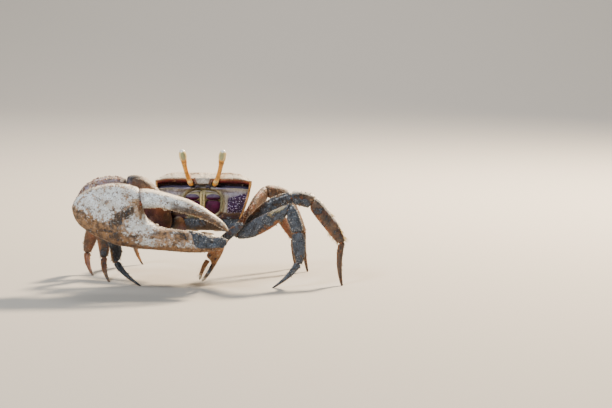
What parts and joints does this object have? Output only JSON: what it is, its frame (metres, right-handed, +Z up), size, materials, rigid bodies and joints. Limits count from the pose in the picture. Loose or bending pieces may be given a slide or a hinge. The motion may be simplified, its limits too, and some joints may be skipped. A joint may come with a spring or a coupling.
{
  "type": "fiddler crab",
  "caption": "Male fiddler crab, life size, standing on its walking legs with one very large claw held across its face and its eyes raised on long stalks.",
  "frame": {"origin": "centre of the footprint's bounding box at floor level, between the feet", "axes": "+Z up; the crab faces -Y, its left side is +X and its great right claw reaches furthest to -X"},
  "size_m": [0.0987, 0.0685, 0.0496],
  "materials": {
    "shell": "grained, dusty horn-like shell with a pale worn rim",
    "underside": "smooth pale horn",
    "mouth": "purple plates with olive and cream edges",
    "eyestalk": "translucent-looking amber horn, satin",
    "eye": "wet, pale green, glossy",
    "great_claw": "white, granular, stained tan and brown",
    "arm": "orange-brown, granular along its edges",
    "small_claw": "tan and orange horn",
    "leg_muddy": "coated in blue-grey mud, orange under it",
    "leg_orange": "orange-brown horn with a little mud",
    "setae": "short brown bristles"
  },
  "bodies": {
    "root": {"carapace": "shell", "claw_base": "arm", "claw_carpus": "great_claw", "claw_dactyl": "great_claw", "claw_merus": "arm", "claw_palm": "great_claw", "eye_left": "eye", "eye_right": "eye", "eyestalk_left": "eyestalk", "eyestalk_right": "eyestalk", "leg_left_1_base": "leg_muddy", "leg_left_1_carpus": "leg_muddy", "leg_left_1_dactylus": "leg_muddy", "leg_left_1_merus": "leg_muddy", "leg_left_1_propodus": "leg_muddy", "leg_left_2_base": "leg_muddy", "leg_left_2_carpus": "leg_muddy", "leg_left_2_dactylus": "leg_muddy", "leg_left_2_merus": "leg_muddy", "leg_left_2_propodus": "leg_muddy", "leg_left_3_base": "leg_orange", "leg_left_3_carpus": "leg_orange", "leg_left_3_dactylus": "leg_orange", "leg_left_3_merus": "leg_orange", "leg_left_3_propodus": "leg_orange", "leg_left_4_base": "leg_orange", "leg_left_4_carpus": "leg_orange", "leg_left_4_dactylus": "leg_orange", "leg_left_4_merus": "leg_orange", "leg_left_4_propodus": "leg_orange", "leg_right_1_base": "leg_muddy", "leg_right_1_carpus": "leg_muddy", "leg_right_1_dactylus": "leg_muddy", "leg_right_1_merus": "leg_muddy", "leg_right_1_propodus": "leg_muddy", "leg_right_2_base": "leg_muddy", "leg_right_2_carpus": "leg_muddy", "leg_right_2_dactylus": "leg_muddy", "leg_right_2_merus": "leg_muddy", "leg_right_2_propodus": "leg_muddy", "leg_right_3_base": "leg_orange", "leg_right_3_carpus": "leg_orange", "leg_right_3_dactylus": "leg_orange", "leg_right_3_merus": "leg_orange", "leg_right_3_propodus": "leg_orange", "leg_right_4_base": "leg_orange", "leg_right_4_carpus": "leg_orange", "leg_right_4_dactylus": "leg_orange", "leg_right_4_merus": "leg_orange", "leg_right_4_propodus": "leg_orange", "maxilliped_left": "mouth", "maxilliped_right": "mouth", "pleon": "underside", "small_claw_base": "small_claw", "small_claw_carpus": "small_claw", "small_claw_dactyl": "small_claw", "small_claw_merus": "small_claw", "small_claw_palm": "small_claw", "thorax": "underside"}
  },
  "joints": []
}
